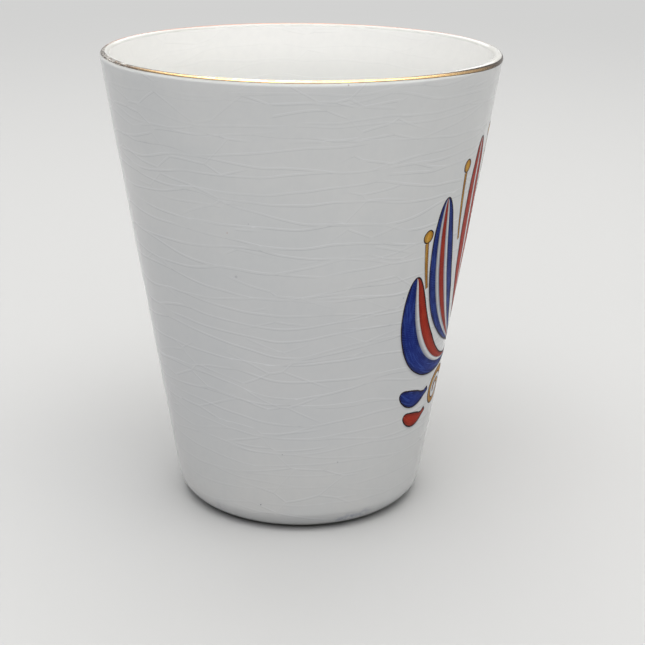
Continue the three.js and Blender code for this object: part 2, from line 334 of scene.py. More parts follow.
def emptied(owner):
    """A material or a world with its own nodes cleared away, and a function that adds nodes to it."""
    owner.use_nodes = True
    owner.node_tree.nodes.clear()
    return owner, partial(add_node, owner.node_tree)


# The cracks in the glaze, between cells that are wide across and low
CRACK_HALF_WIDTH = 0.145 * MM
CRACK_DROP = 0.42 * MM  # from a crack's painted shade to its painted highlight
CRACK_BENDS = 24 * MM  # how far apart the bends in a crack are
MAIN_CELL = (38 * MM, 3.8 * MM)
FINE_CELL = (13 * MM, 5.6 * MM)
CRACK_PATCHES = 21 * MM  # the size of the stretches with more cracks and with fewer


def crack_shade_and_highlight(add, place, cell, bend, seed):
    """The painted shade and the painted highlight along fine cracks, as two masks: a dark line, and a pale
    one just above it, as light from above would fall on a crack's relief. They are the walls between cells
    that are wide across and low, in a space that noise bends, so that they run nearly level and join at
    sharp angles. A wall's distance is taken here and a little lower down, which tells how steep the wall
    is: steep ones are dropped, and the rest get an even width."""
    across, up = cell
    bending = add("TexNoise", place, 1 / CRACK_BENDS, 1.5).node.outputs["Color"]
    centred = add("VectorMath SUBTRACT", bending, (0.5, 0.5, 0.5))
    amount = (bend / across, bend / across, bend / up)
    bent = add("VectorMath MULTIPLY", centred, amount)
    scale = (1 / across, 1 / across, 1 / up)
    scaled = add("Mapping", place, named={"Location": seed, "Scale": scale})
    here = add("VectorMath ADD", scaled, bent)
    lower = add("VectorMath ADD", here, (0, 0, -CRACK_DROP / up))
    walls = [add("TexVoronoi", point, 1.0, feature="DISTANCE_TO_EDGE") for point in (here, lower)]
    level = add("Math SUBTRACT", *walls)
    level = add("Math ABSOLUTE", level)
    level = add("Math DIVIDE", level, CRACK_DROP / up)
    shown = add("MapRange", level, 0.2, 0.5)
    level = add("Math MAXIMUM", level, 0.15)
    masks = []
    for wall in walls:
        distance = add("Math DIVIDE", wall, level)
        mask = add("MapRange", distance, 0, CRACK_HALF_WIDTH / up, 1, 0)
        masks.append(add("Math MULTIPLY", mask, shown))
    return masks


def add_crazing(add, place, inside, upright, colour):
    """The glaze's cracks, mixed into a colour as a grey painted shade and a pale painted highlight: long
    ones that run level, and finer ones in patches. They fade towards the foot and the lip, and show half
    as much inside."""
    height = add("SeparateXYZ", place).node.outputs["Z"]
    outward = add("Math MULTIPLY_ADD", inside, -0.5, 1)
    upright = add("Math MULTIPLY", upright, outward)
    patches = add("TexNoise", place, 1 / CRACK_PATCHES)
    patches = add("MapRange", patches, 0.34, 0.5, 0.5, 1.1)
    above_foot = add("MapRange", height, 4 * MM, 46 * MM, 0.28, 1.0)
    below_lip = add("MapRange", height, 76 * MM, 94 * MM, 1.0, 0.4)
    middle = add("Math MULTIPLY", above_foot, below_lip)
    main_strength = add("Math MULTIPLY", patches, middle)
    main_strength = add("Math MULTIPLY", main_strength, upright)
    elsewhere = add("Mapping", place, (0.2, 0.1, 0.3))
    fine_patches = add("TexNoise", elsewhere, 1 / CRACK_PATCHES, 1)
    fine_patches = add("MapRange", fine_patches, 0.42, 0.58)
    fine_strength = add("Math MULTIPLY", fine_patches, upright)
    fine_strength = add("Math MULTIPLY", fine_strength, 0.8)
    dark, pale = crack_shade_and_highlight(add, place, MAIN_CELL, 6.5 * MM, (0.31, 0.77, 0.13))
    fine_painted_shade, fine_painted_highlight = crack_shade_and_highlight(add, place, FINE_CELL, 4 * MM, (0.11, 0.52, 0.41))
    # The grey tone is each crack's painted shade, and the white one its painted highlight.
    for lines, fine_lines, tone, amount in (
        (dark, fine_painted_shade, "#8E9294", 0.24),
        (pale, fine_painted_highlight, "#FFFFFF", 0.76),
    ):
        main = add("Math MULTIPLY", lines, main_strength)
        fine = add("Math MULTIPLY", fine_lines, fine_strength)
        both = add("Math MAXIMUM", main, fine)
        both = add("Math MULTIPLY", both, amount)
        colour = add("Mix", both, colour, srgb(tone))
    return colour


# Marks in the glaze: azimuth in degrees, height and width in millimetres, strength and colour
MARKS = (
    (-77.2, 99.2, 0.5, 0.9, "#7A5A4C"),
    (-111.4, 69.0, 0.5, 0.3, "#B98A6C"),
    (-109.6, 59.8, 0.75, 0.3, "#8C8C90"),
    (-106.3, 6.5, 0.4, 0.8, "#6A6A6E"),
    (-73.5, 17.4, 0.4, 0.45, "#7C7C80"),
    (-96.0, 19.6, 0.35, 0.4, "#7C7C80"),
    (-104.5, 71.3, 0.35, 0.35, "#8C8C90"),
    (-52.8, 53.8, 0.35, 0.5, "#5A66A0"),
    (24.0, 12.4, 0.4, 0.7, "#6A5A50"),
    (143.0, 77.2, 0.45, 0.6, "#8A6A54"),
    (96.0, 34.8, 0.6, 0.35, "#84848A"),
    (171.0, 51.5, 0.4, 0.6, "#6E6E74"),
)
# Bluish patches near the foot: azimuth in degrees, height and width in millimetres, and strength
BLUISH_FOOT_PATCHES = ((-65.0, 2.3, 2.6, 0.8), (-70.5, 1.9, 2.2, 0.6), (-58.0, 2.7, 2.4, 0.5), (-128.0, 3.2, 2.4, 0.2))
BLUISH_FOOT_CLOUDS = 2.4 * MM
SPECK_SPACING = 9 * MM  # the cells that may hold a speck of iron


def on_wall_at(azimuth, height):
    """The place on the outer wall at an azimuth in degrees and a height in millimetres."""
    angle = math.radians(azimuth)
    radius = wall_radius(height * MM)
    if height * MM < cup.heel:
        radius = cup.heel_centre[0] + math.sqrt(cup.heel ** 2 - (cup.heel - height * MM) ** 2)
    return radius * math.cos(angle), radius * math.sin(angle), height * MM


def add_marks(add, place, colour):
    """The glaze's marks, the bluish patches near the foot and the specks, mixed into a colour, each by its
    distance from its middle.
    """
    ragged = add("TexNoise", place, 1 / (0.35 * MM), 1)
    for azimuth, height, width, strength, tone in MARKS:
        distance = add("VectorMath DISTANCE", place, on_wall_at(azimuth, height))
        distance = add("Math MULTIPLY_ADD", ragged, 0.3 * width * MM, distance)
        mask = add("MapRange", distance, 0.3 * width * MM, 0.75 * width * MM, strength, 0)
        colour = add("Mix", mask, colour, srgb(tone))
    cloudy = add("TexNoise", place, 1 / BLUISH_FOOT_CLOUDS, 3, 0.6)
    cloudy = add("MapRange", cloudy, 0.3, 0.65)
    for azimuth, height, width, strength in BLUISH_FOOT_PATCHES:
        distance = add("VectorMath DISTANCE", place, on_wall_at(azimuth, height))
        mask = add("MapRange", distance, 0, width * MM, strength, 0)
        mask = add("Math MULTIPLY", mask, cloudy)
        colour = add("Mix", mask, colour, srgb("#7A86AA"))
    cells = add("TexVoronoi", place, 1 / SPECK_SPACING, feature="F1").node.outputs
    chance = add("SeparateXYZ", cells["Color"])
    chosen = add("MapRange", chance, 0.8, 0.86)
    dot = add("MapRange", cells["Distance"], 0.012, 0.026, 0.5, 0)
    dot = add("Math MULTIPLY", dot, chosen)
    return add("Mix", dot, colour, srgb("#85827E"))


# The unevenness of the glaze: the size of each kind of patch
GLAZE_CLOUDS = 16 * MM
GLAZE_MOTTLE = 1.6 * MM
GLAZE_SMEARS = 9 * MM
GLAZE_RIPPLES = 4.5 * MM


def glaze_tone(add, place, inside, rising):
    """The white of the glaze: warmer and paler low down and paler high up, which is painted light;
    brighter inside towards the lip and the sides, which is painted light too; greyer on top of the lip
    where it faces up, which is painted shade; and clouded all over."""
    axes = add("SeparateXYZ", place).node.outputs
    # Painted light: the outer wall is paler low down and high up, and a little warmer low down.
    painted_light_low_down = add("MapRange", axes["Z"], 30 * MM, 8 * MM)
    colour = add("Mix", painted_light_low_down, srgb("#EBEBE9"), srgb("#EFEEEA"))
    painted_light_high_up = add("MapRange", axes["Z"], 40 * MM, 78 * MM)
    colour = add("Mix", painted_light_high_up, colour, srgb("#F1F1EE"))

    # Painted light: the inside is brighter towards the lip and towards both sides.
    painted_light_near_lip = add("MapRange", axes["Z"], 86 * MM, 97 * MM)
    aside = add("Math ABSOLUTE", axes["X"])
    aside = add("MapRange", aside, 8 * MM, 42 * MM, 0, 0.75)
    full = add("Math MAXIMUM", painted_light_near_lip, aside)
    inner = add("Mix", full, srgb("#E2E2DF"), srgb("#F9F8F5"))
    colour = add("Mix", inside, colour, inner)

    # Painted shade: the top of the lip is greyer where it faces up.
    lip_shade_where_facing_up = add("MapRange", rising, 0.22, 0.6)
    at_top = add("MapRange", axes["Z"], 96 * MM, 98 * MM)
    lip = add("Math MULTIPLY", lip_shade_where_facing_up, at_top)
    lip = add("Math MULTIPLY", lip, 0.9)
    colour = add("Mix", lip, colour, srgb("#C6C4BD"))

    cloud = add("TexNoise", place, 1 / GLAZE_CLOUDS, 3)
    cloud = add("MapRange", cloud, 0.3, 0.7)
    less_inside = add("Math MULTIPLY_ADD", inside, -0.2, 0.25)
    cloud = add("Math MULTIPLY", cloud, less_inside)
    colour = add("Mix", cloud, colour, srgb("#E1E4E4"))
    mottle = add("TexNoise", place, 1 / GLAZE_MOTTLE, 2, 0.6)
    mottle = add("MapRange", mottle, 0.35, 0.7)
    mottle = add("Math MULTIPLY", mottle, 0.06)
    return add("Mix", mottle, colour, srgb("#D0D2D4"))


def clear_glaze():
    """Clear lead glaze over white earthenware, dipped and fired, then crazed with age. To the eye it is a
    soft white with a wet gloss, slightly uneven, with hair lines drawn as a pale painted highlight above
    and a grey painted shade below, and a few specks of iron. Its white holds painted light and shade as
    well."""
    material, add = emptied(bpy.data.materials.new("clear_glaze_on_earthenware"))
    place = add("TexCoord").node.outputs["Object"]
    normal = add("NewGeometry").node.outputs["Normal"]
    rising = add("SeparateXYZ", normal).node.outputs["Z"]
    outward = add("VectorMath DOT_PRODUCT", normal, place)
    inside = add("MapRange", outward, 4 * MM, -4 * MM)
    steep = add("Math ABSOLUTE", rising)
    upright = add("MapRange", steep, 0.8, 0.5)
    colour = glaze_tone(add, place, inside, rising)
    colour = add_crazing(add, place, inside, upright, colour)
    printed = add("Attribute", attribute_name="shade").node.outputs["Fac"]
    colour = add("Mix", printed, colour, srgb("#6C7084"))
    colour = add_marks(add, place, colour)
    rough = add("TexNoise", place, 1 / GLAZE_SMEARS, 3)
    rough = add("Math MULTIPLY_ADD", rough, 0.08, 0.07)
    ripple = add("TexNoise", place, 1 / GLAZE_RIPPLES)
    bump = add("Bump", named={"Strength": 0.35, "Distance": 0.06 * MM, "Height": ripple})
    glaze = add("BsdfPrincipled", named={
        "Base Color": colour, "Roughness": rough, "IOR": 1.5, "Specular IOR Level": 0.34, "Normal": bump,
    })
    add("OutputMaterial", glaze)
    return material


# The dry clay: the size of its grain and of its stains, and the pitch of the turning tool's rings
CLAY_GRAIN = 0.5 * MM
CLAY_GRIME = 3.5 * MM
TOOL_RINGS = 7 * MM


def biscuit():
    """White earthenware fired once, dry and unglazed where the foot was wiped. It is matt, slightly buff,
    with the rings of the turning tool and grime in its pores."""
    material, add = emptied(bpy.data.materials.new("biscuit_fired_earthenware"))
    place = add("TexCoord").node.outputs["Object"]
    grain = add("TexNoise", place, 1 / CLAY_GRAIN, 4, 0.65)
    pores = add("MapRange", grain, 0.35, 0.7)
    colour = add("Mix", pores, srgb("#DDD3C0"), srgb("#C7BAA3"))
    grime = add("TexNoise", place, 1 / CLAY_GRIME, 4, 0.65)
    grime = add("MapRange", grime, 0.46, 0.66)
    grime = add("Math MULTIPLY", grime, 0.55)
    colour = add("Mix", grime, colour, srgb("#8B7B66"))
    waves = {"Vector": place, "Scale": 1 / TOOL_RINGS, "Distortion": 0.6, "Detail": 2.0}
    rings = add("TexWave", named=waves, wave_type="RINGS", rings_direction="Z").node.outputs["Fac"]
    height = add("Math MULTIPLY_ADD", rings, 0.6, grain)
    bump = add("Bump", named={"Strength": 0.6, "Distance": 0.08 * MM, "Height": height})
    clay = add("BsdfPrincipled", named={
        "Base Color": colour, "Roughness": 0.85, "IOR": 1.5, "Normal": bump,
    })
    add("OutputMaterial", clay)
    return material


# The gold: the size of the brush's streaks, of the painted glints, of the dark flecks and of the bare
# patches
BRUSH_STREAKS = 1.1 * MM
GOLD_PAINTED_GLINTS = 1.5 * MM
GOLD_FLECKS = 0.6 * MM
GOLD_GAPS = 0.6 * MM
PAINTED_GLINT_AT = -8 * MM  # the middle of the stretch with painted glints, along X


def gold_tone(add, place, axes, across, inward, streaks, back):
    """The colour of the gold: browner where the brush left it thin and towards both sides, with pale
    glints in front that are a painted highlight, and redder at the back, on the side that faces in."""
    thin = add("MapRange", streaks, 0.42, 0.66)
    thin = add("Math MULTIPLY", thin, 0.35)
    colour = add("Mix", thin, srgb("#F3CE98"), srgb("#DDAA6C"))
    side = add("MapRange", across, 26 * MM, 40 * MM)
    left = add("MapRange", axes["X"], -23 * MM, -33 * MM)
    side = add("Math MAXIMUM", side, left)
    side = add("Math MULTIPLY", side, 0.9)
    colour = add("Mix", side, colour, srgb("#957C62"))

    # Painted highlight: pale glints in front, on the upper part of the band.
    painted_glint = add("TexNoise", place, 1 / GOLD_PAINTED_GLINTS, 1)
    painted_glint = add("MapRange", painted_glint, 0.44, 0.54)
    off_middle = add("Math ADD", axes["X"], -PAINTED_GLINT_AT)
    off_middle = add("Math ABSOLUTE", off_middle)
    in_front = add("MapRange", off_middle, 13 * MM, 6 * MM)
    painted_glint = add("Math MULTIPLY", painted_glint, in_front)
    upper = add("MapRange", inward, 0.3, 0.55)
    painted_glint = add("Math MULTIPLY", painted_glint, upper)
    painted_glint = add("Math MULTIPLY", painted_glint, 0.85)
    colour = add("Mix", painted_glint, colour, srgb("#FFF8EA"))

    facing_in = add("MapRange", inward, 0.4, 0.7)
    red = add("Math MULTIPLY", back, facing_in)
    return add("Mix", red, colour, srgb("#CC7C52"))


def gold_tarnish(add, place, across, inward, left, back):
    """Where the gold is worn to its dark ground: in flecks at the left, at both ends, and along its lower
    and upper edges. The back has little of it."""
    lower = add("MapRange", inward, 0.24, 0.1)
    lower = add("Math MULTIPLY", lower, 0.8)
    upper = add("MapRange", inward, 0.56, 0.72)
    aside = add("MapRange", across, 10 * MM, 24 * MM)
    upper = add("Math MULTIPLY", upper, aside)
    edges = add("Math MAXIMUM", upper, lower)
    end = add("MapRange", across, 34 * MM, 40 * MM)
    end = add("Math MULTIPLY", end, 0.9)
    fleck = add("TexNoise", place, 1 / GOLD_FLECKS, 3, 0.8)
    fleck = add("MapRange", fleck, 0.43, 0.47)
    fleck = add("Math MULTIPLY", fleck, left)
    tarnish = add("Math MAXIMUM", edges, end)
    tarnish = add("Math MAXIMUM", fleck, tarnish)
    kept = add("Math MULTIPLY_ADD", back, -0.8, 0.95)
    return add("Math MULTIPLY", tarnish, kept)


def gilding():
    """Bright gold, brushed on over the glaze and fired, then rubbed by use. It is a warm mirror in front,
    with pale glints painted on there as a highlight. It is browner where it is thin, and at its ends it is
    worn to dark flecks."""
    material, add = emptied(bpy.data.materials.new("burnished_gilding"))
    place = add("TexCoord").node.outputs["Object"]
    axes = add("SeparateXYZ", place).node.outputs
    across = add("Math ABSOLUTE", axes["X"])
    inward = add("Attribute", attribute_name="inward").node.outputs["Fac"]
    back = add("MapRange", axes["Y"], -5 * MM, 12 * MM)
    left = add("MapRange", axes["X"], -29 * MM, -35 * MM)
    brushed = add("Mapping", place, named={"Scale": (1, 1, 3)})
    streaks = add("TexNoise", brushed, 1 / BRUSH_STREAKS, 3, 0.6)
    colour = gold_tone(add, place, axes, across, inward, streaks, back)
    tarnish = gold_tarnish(add, place, across, inward, left, back)
    colour = add("Mix", tarnish, colour, srgb("#221812"))
    metal = add("Math MULTIPLY_ADD", tarnish, -1, 1)
    rough = add("Math MULTIPLY_ADD", streaks, 0.22, 0.16)
    bump = add("Bump", named={"Strength": 0.9, "Distance": 0.07 * MM, "Height": streaks})
    gold = add("BsdfPrincipled", named={
        "Base Color": colour, "Metallic": metal, "Roughness": rough, "Specular IOR Level": 0.2,
        "Normal": bump,
    })
    bare = add("BsdfPrincipled", named={"Base Color": srgb("#E2DED4"), "Roughness": 0.15, "IOR": 1.5})
    gaps = add("TexNoise", place, 1 / GOLD_GAPS, 3, 0.75)
    gaps = add("Math MULTIPLY_ADD", left, 0.16, gaps)
    worn = add("MapRange", gaps, 0.7, 0.74)
    add("OutputMaterial", add("MixShader", worn, gold, bare))
    return material


# The enamels: the pitch of their hatching in millimetres, and the size of their patches and their dots
HATCH_PITCH = 0.62
ENAMEL_PATCHES = 2.6 * MM
ENAMEL_DOTS = 0.22 * MM


def enamel(name, main, light, dark, strokes):
    """On-glaze enamel, printed from stone in fine dots and fired. It is a dense colour with a soft gloss,
    deeper along its edges, with paler engraved strokes along it and hatched across it."""
    material, add = emptied(bpy.data.materials.new(name))
    place = add("TexCoord").node.outputs["Object"]
    facts = [add("Attribute", attribute_name=fact) for fact in ("edge", "across", "along")]
    edge, across, along = (fact.node.outputs["Fac"] for fact in facts)
    from_edge = add("MapRange", edge, 0.1, 1.1)
    colour = add("Mix", from_edge, srgb(dark), srgb(main))
    lengthwise = add("Math MULTIPLY", along, 0.16)
    crosswise = add("Math MULTIPLY", across, 2.2)
    lines = add("TexNoise", add("CombineXYZ", lengthwise, crosswise), 1.0, 1.0)
    stroke = add("MapRange", lines, 0.56, 0.63)
    stroke = add("Math MULTIPLY", stroke, strokes)
    colour = add("Mix", stroke, colour, srgb(light))

    slant = add("Math MULTIPLY_ADD", across, 0.9, along)
    hatch = add("Math MULTIPLY", slant, 2 * math.pi / HATCH_PITCH)
    hatch = add("Math SINE", hatch)
    hatch = add("MapRange", hatch, 0.1, 0.8)
    between = add("MapRange", lines, 0.5, 0.42)
    hatch = add("Math MULTIPLY", hatch, between)
    hatch = add("Math MULTIPLY", hatch, 0.6 * strokes)
    colour = add("Mix", hatch, colour, srgb(light))

    patch = add("TexNoise", place, 1 / ENAMEL_PATCHES, 3)
    patch = add("MapRange", patch, 0.4, 0.7)
    patch = add("Math MULTIPLY", patch, 0.22)
    colour = add("Mix", patch, colour, srgb(light))
    dots = add("TexNoise", place, 1 / ENAMEL_DOTS, 1)
    dots = add("MapRange", dots, 0.4, 0.66)
    dotted = add("Math MULTIPLY", dots, 0.2)
    colour = add("Mix", dotted, colour, srgb(dark))
    rough = add("Math MULTIPLY_ADD", dots, 0.12, 0.42)
    bump = add("Bump", named={"Strength": 0.3, "Distance": 0.01 * MM, "Height": dots})
    paint = add("BsdfPrincipled", named={
        "Base Color": colour, "Roughness": rough, "IOR": 1.5, "Specular IOR Level": 0.07, "Normal": bump,
    })
    add("OutputMaterial", paint)
    return material


def glazed_face(inset):
    """The glazed face's profile from the glaze line on the heel up the wall, over the lip, down the inside
    and over the floor to the axis, lying as deep under the finished surface as inset."""
    lean, inner_lean = math.degrees(cup.lean), math.degrees(cup.inner_lean)
    heel = arc(cup.heel_centre, cup.heel - inset, -cup.glaze_line, -lean, HEEL_STEPS)
    lip = arc(cup.lip_centre, cup.lip - inset, -lean, 180 - inner_lean, 26)
    floor = arc(cup.floor_centre, cup.floor_round + inset, -inner_lean, -90, 14)
    middle = (0, cup.floor - inset)
    wall, inner_wall = line(heel[-1], lip[0], 44), line(lip[-1], floor[0], 38)
    return np.concatenate([heel, wall, lip, inner_wall, floor, line(floor[-1], middle, 12), [middle]])


def make_clay():
    """The clay body: the recess under it, the dry foot ring and all that the glaze covers."""
    recess = arc(cup.recess_centre, cup.recess_round, 90, 0, 10)
    inner, outer = cup.foot
    worn = 0.12 * MM
    profile = np.concatenate([
        [(0, cup.recess_depth)], line((0, cup.recess_depth), recess[0], 8), recess,
        [(cup.recess, cup.foot_bevel)], [(inner - worn, worn / 3)], [(inner + worn, 0)],
        line((inner + worn, 0), (outer - worn, 0), 6), [(outer - worn, 0)], [(outer + worn, worn / 3)],
        glazed_face(cup.clay_inset),
    ])
    piece = solid("clay_body", revolve(profile, 256), biscuit())
    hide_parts("cup_body")


def make_glaze(material):
    """The dipped glaze as a closed coat, thinned out to a soft edge at its lower end."""
    face = glazed_face(0)
    back = glazed_face(cup.coat)
    angle = np.degrees(np.arctan2(cup.heel_centre[1] - face[:, 1], face[:, 0] - cup.heel_centre[0]))
    in_heel = np.arange(len(face)) <= HEEL_STEPS
    rise = np.clip((cup.glaze_line - angle) / GLAZE_EDGE, 0, 1)
    fullness = np.where(in_heel, np.sqrt(1 - (1 - rise) ** 2), 1)[:, None]
    face = back + (face - back) * fullness
    profile = np.concatenate([back[::-2], face[1:]])
    piece = solid("glaze", revolve(profile, 400), material, sharp=70)
    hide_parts("glaze_coat")


def make_underside_glaze(material):
    """The glaze in the recess, from the middle to where the foot was wiped."""
    gap = cup.recess_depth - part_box("glaze_underside")[1].z
    top = arc(cup.recess_centre, cup.recess_round - gap, 90, 4, 12)
    bottom = arc(cup.recess_centre, cup.recess_round - gap - cup.coat, 90, 8, 12)
    start, under = (0, cup.recess_depth - gap), (0, cup.recess_depth - gap - cup.coat)
    profile = np.concatenate([
        [under], line(under, bottom[0], 10), bottom, top[::-1], line(top[0], start, 10), [start],
    ])
    piece = solid("underside_glaze", revolve(profile, 256), material, sharp=80)
    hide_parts("glaze_underside")


def film_section(steps):
    """Shares of a film's width, closer together near its edges, and how full its top is at each."""
    share = np.sin(np.linspace(-1, 1, steps) * np.pi / 2) / 2 + 0.5
    return share, (1 - (2 * share - 1) ** 8) ** 0.5


def make_gilding():
    """The gold band: a thin skin on the lip's round between two edges that waver as a brush does."""
    columns, steps = 960, 14
    angle = np.linspace(0, 2 * np.pi, columns, endpoint=False)[:, None]
    lower = cup.gold[0] + 7 + GOLD_WAVER * wander(angle, (1, 2, 3, 7, 16, 31, 53, 87, 131), 3, 0.5)
    upper = cup.gold[1] - 1 + GOLD_WAVER * wander(angle, (1, 2, 4, 9, 17, 29, 61, 97, 143), 4, 0.5)
    upper += GOLD_BACK_RISE * np.clip(np.sin(angle), 0, 1)
    off_line = (np.degrees(angle) + 180 - GOLD_DIP_AT) % 360 - 180
    dip = GOLD_DIP * np.exp(-(off_line / GOLD_DIP_WIDTH) ** 2)
    lower, upper = np.maximum(lower - dip, -math.degrees(cup.lean)), upper - dip
    share, crown = film_section(steps)
    turn = np.radians(lower + (upper - lower) * share)
    out = np.concatenate([cup.lip + GOLD * crown, np.full(steps, cup.lip - SINK)])
    turn = np.concatenate([turn, turn[:, ::-1]], 1)
    inward = np.broadcast_to(np.concatenate([share, share[::-1]]), turn.shape)
    height = cup.lip_centre[1] + out * np.sin(turn)
    radius = cup.lip_centre[0] + out * np.cos(turn) - hand_turned(angle, height)
    grid = np.stack([radius * np.cos(angle), radius * np.sin(angle), height], 2)
    piece = solid("gilt_lip", grid, gilding(), closed_rows=True, facts={"inward": inward})
    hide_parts("rim_gilding")


def drawing_scale():
    """Metres for one unit of the drawing, and the height of its root, from the middle petal's solid."""
    low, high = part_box("centre_petal_blue")
    return (high.z - low.z) / (DRAWING_TOP - DRAWING_ROOT), low.z


UNIT, ROOT_HEIGHT = drawing_scale()


def on_wall(flat, lift):
    """Points of the drawing laid on the wall: up is height, and across is distance round the wall from
    the line that faces +X. lift is how far they stand off it."""
    height = ROOT_HEIGHT + (flat[..., 1] - DRAWING_ROOT) * UNIT
    angle = flat[..., 0] * UNIT / wall_radius(height)
    radius = wall_radius(height) - hand_turned(angle, height) + lift / math.cos(cup.lean)
    return np.stack([radius * np.cos(angle), radius * np.sin(angle), height], -1)


def film(name, left, right, lift, material, slot, closed=False, width_steps=10, shade=None):
    """A thin film of colour between two edges in the drawing. Its section is a flat underside and a top
    that falls off at both edges. along, across and edge are in millimetres, for the material, and shade
    tells how dark the printed tone is at a share of the width."""
    share, crown = film_section(width_steps)
    share = np.concatenate([share, share[::-1]])
    flat = left[:, None] * (1 - share[:, None]) + right[:, None] * share[:, None]
    lifts = np.concatenate([lift * crown, np.full(width_steps, -SINK)])
    grid = on_wall(flat, lifts[None, :])
    width = np.linalg.norm(left - right, axis=1)[:, None] * UNIT / MM
    middle = (left + right) / 2
    steps = np.linalg.norm(np.diff(middle, axis=0), axis=1) * UNIT / MM
    along = np.broadcast_to(np.concatenate([[0], np.cumsum(steps)])[:, None], grid.shape[:2])
    across = (share[None, :] - 0.5) * width
    facts = {"along": along, "across": across, "edge": np.minimum(share, 1 - share)[None, :] * width}
    if shade:
        facts["shade"] = np.broadcast_to(shade(share)[None, :], grid.shape[:2])
    if not closed:
        tips = [np.broadcast_to(on_wall(middle[[i]], 0), (1,) + grid.shape[1:]) for i in (0, -1)]
        grid = np.concatenate([tips[0], grid, tips[1]])
        facts = {key: np.concatenate([value[:1], value, value[-1:]]) for key, value in facts.items()}
    return solid(name, grid, material, closed_rows=closed, facts=facts, sharp=80)


def print_film(node, edges, colour, paints, width_steps=10):
    """A film of enamel in the place of a printed solid."""
    slot = f"{colour}_enamel"
    piece = film("print_" + node, *edges, ENAMEL, paints[colour], slot, width_steps=width_steps)
    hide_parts(node)


def bezier(points, share):
    """A curve through the drawing from root, bend and tip, and its unit normals to the left."""
    root, bend, tip = (np.array(p, float) for p in points)
    t = share[:, None]
    place = (1 - t) ** 2 * root + 2 * t * (1 - t) * bend + t ** 2 * tip
    return place, left_of(2 * (1 - t) * (bend - root) + 2 * t * (tip - bend))


def left_of(direction):
    """Unit vectors a quarter turn to the left of these."""
    turned = np.stack([-direction[:, 1], direction[:, 0]], 1)
    return turned / np.linalg.norm(turned, axis=1)[:, None]


def petal_half_width(half_width, share):
    """A soft swell up to the fullest place, then the round of an ellipse to the tip."""
    rise = np.clip(share / PETAL_FULLEST, 0, 1)
    fall = np.clip((1 - share) / (1 - PETAL_FULLEST), 0, 1)
    swell = (rise ** 2 * (3 - 2 * rise)) ** PETAL_SWELL * np.sqrt(1 - (1 - fall) ** 2)
    return np.maximum(half_width * swell, PETAL_ROOT_HALF_WIDTH * (1 - share))


def ring_round(name, outline, gap, width, material, seed):
    """A key line as a closed ring outside an outline that runs clockwise: it keeps to the outline's
    normals, and its width swells and thins as a pen's does."""
    direction = np.roll(outline, -1, 0) - np.roll(outline, 1, 0)
    direction = sum(np.roll(direction, shift, 0) for shift in range(-3, 4))
    out = left_of(direction)
    turn = np.linspace(0, 2 * np.pi, len(outline), endpoint=False)
    pen = 1 + 0.22 * wander(turn, (2, 5, 9, 14, 23), seed, 0.4)
    inner = outline + out * (gap - 0.04)
    outer = outline + out * (gap + width * pen[:, None])
    return film(name, outer, inner, KEY_LINE, material, "umber_enamel", closed=True, width_steps=5)


def evenly(points, count):
    """A closed outline's points, set evenly along it."""
    closed = np.concatenate([points, points[:1]])
    length = np.concatenate([[0], np.cumsum(np.linalg.norm(np.diff(closed, axis=0), axis=1))])
    at = np.linspace(0, length[-1], count, endpoint=False)
    return np.stack([np.interp(at, length, closed[:, i]) for i in (0, 1)], 1)


def mirrored(points, side):
    """Points of the drawing, turned over to the left where side is -1."""
    return tuple((side * x, y) for x, y in points)


def make_petal(name, spine, half_width, stripes, side, side_name, paints):
    """A petal's stripes of colour, and the key line round it."""
    share = (1 - np.cos(np.linspace(0, np.pi, PETAL_STEPS))) / 2
    place, left = bezier(mirrored(spine, side), share)
    half = petal_half_width(half_width, share)[:, None]
    for stripe, (inner, outer) in stripes.items():
        first, second = (inner, outer) if side > 0 else (-outer, -inner)
        under = [OVERLAP * (abs(edge) == 1) * edge for edge in (first, second)]
        edges = [place + left * (half * edge + more) for edge, more in zip((first, second), under)]
        colour = stripe.split("_")[-1]
        node = f"{name}_{side_name}{stripe}"
        print_film(node, edges, colour, paints, width_steps=12)
    edges = [edge for stripe in stripes.values() for edge in stripe]
    make_shade(name + "_" + side_name, place, left * side, half, edges, paints["flux"])
    outline = np.concatenate([place + left * half, (place - left * half)[::-1]])
    outline = evenly(outline, PETAL_RING_STEPS)
    node = f"{name}_{side_name}outline"
    ring = ring_round("print_" + node, outline, OUTLINE_GAP / 2, OUTLINE_WIDTH, paints["umber"], len(node))
    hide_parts(node)


def make_shade(name, place, upper, half, edges, material):
    """The soft grey tone that is printed under a petal: along the lower side of each white stripe, and
    just outside the lower key line, where it fades away. Its film is clear and very thin."""
    margin = SHADE_WIDTH * np.sin(np.linspace(0, np.pi, len(place)))[:, None]
    first, second = place + upper * half, place - upper * (half + margin)
    reach = 1 + SHADE_WIDTH / half.max()

    def tone(share):
        at = 1 - share * (1 + reach)
        total = np.clip(1 - (-1 - at) / (reach - 1), 0, 1) ** 1.5 * (at < -1) * 0.7
        for edge in edges:
            total = np.maximum(total, np.clip(1 - (at - edge) / 0.22, 0, 1) * (at >= edge - 0.05) * 0.85)
        return total * np.clip((1 - share) / 0.04, 0, 1) * np.clip(share / 0.02, 0, 1)

    name = f"printed_shade_{name.rstrip('_')}"
    film(name, first, second, FLUX, material, "clear_glaze", width_steps=36, shade=tone)


def disc_outline(centre, radius, narrowing, count=72):
    """A round or narrowed outline, clockwise."""
    turn = -np.linspace(0, 2 * np.pi, count, endpoint=False)
    return np.stack([centre[0] + radius * narrowing * np.cos(turn), centre[1] + radius * np.sin(turn)], 1)


